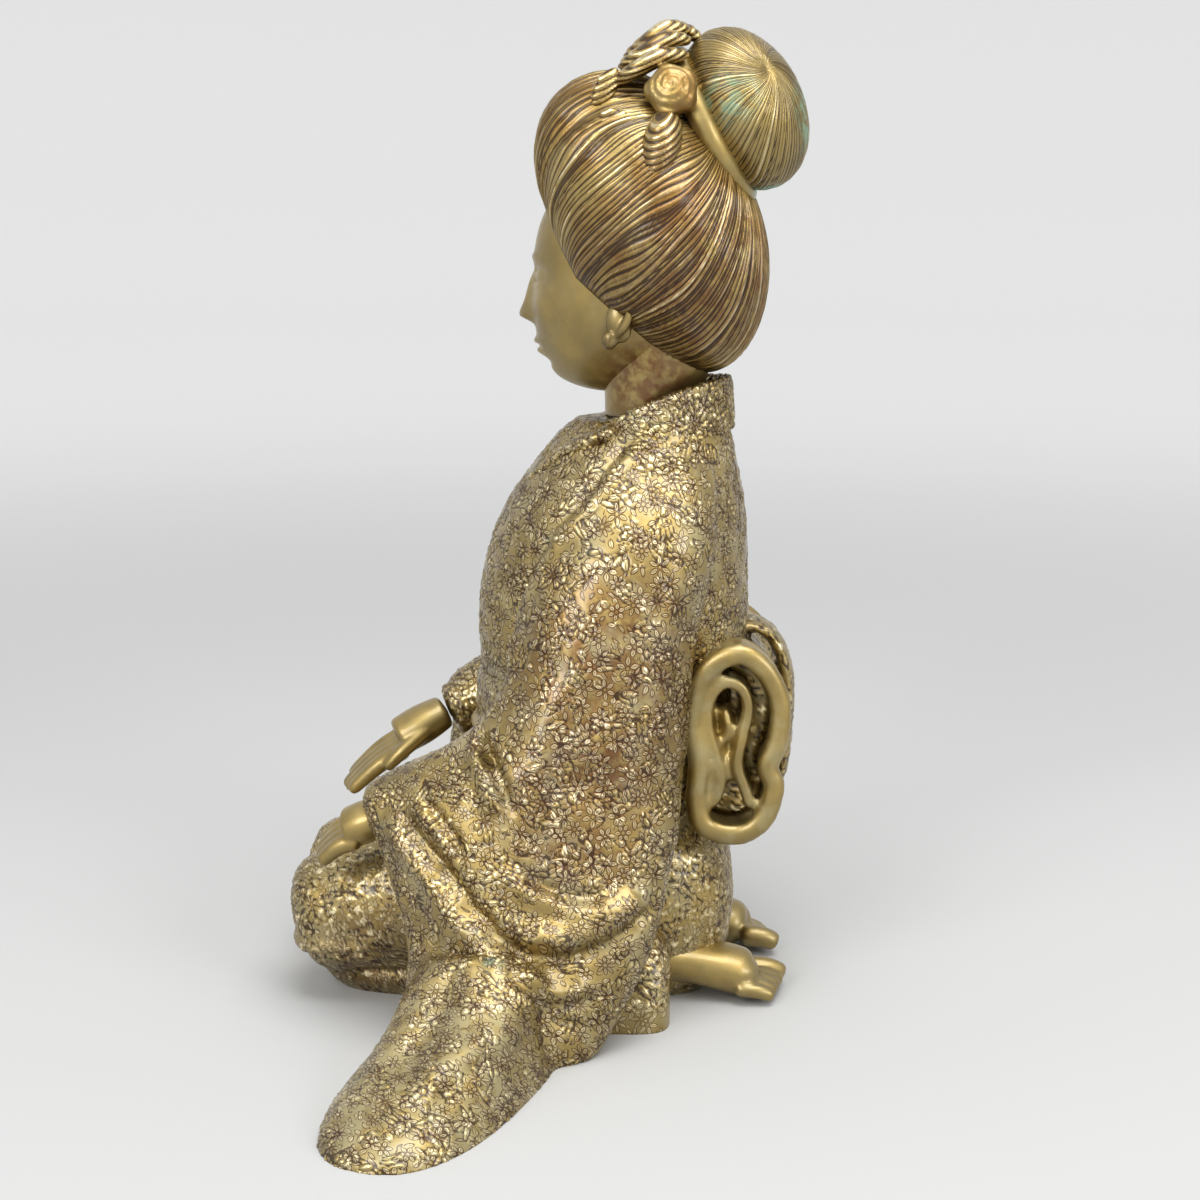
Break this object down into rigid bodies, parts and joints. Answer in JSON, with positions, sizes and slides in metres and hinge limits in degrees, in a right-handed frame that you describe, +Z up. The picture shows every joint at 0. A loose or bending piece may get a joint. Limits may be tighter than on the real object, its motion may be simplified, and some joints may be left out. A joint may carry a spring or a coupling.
{
  "type": "kneeling geisha statue",
  "caption": "Kneeling woman in a long-sleeved floral kimono, hair dressed high with a knot and flowers, a solid casting with a flat underside.",
  "frame": {"origin": "on the floor, under the axis of the torso", "axes": "+Z up, the figure faces -Y, its left side is +X"},
  "size_m": [0.3252, 0.2159, 0.4041],
  "materials": {
    "aged_bronze": "cast bronze with a worn golden-olive patina, dark red-brown in the recesses, pale dust and green verdigris spots"
  },
  "bodies": {
    "root": {"kneeling_geisha": "aged_bronze"}
  },
  "joints": []
}
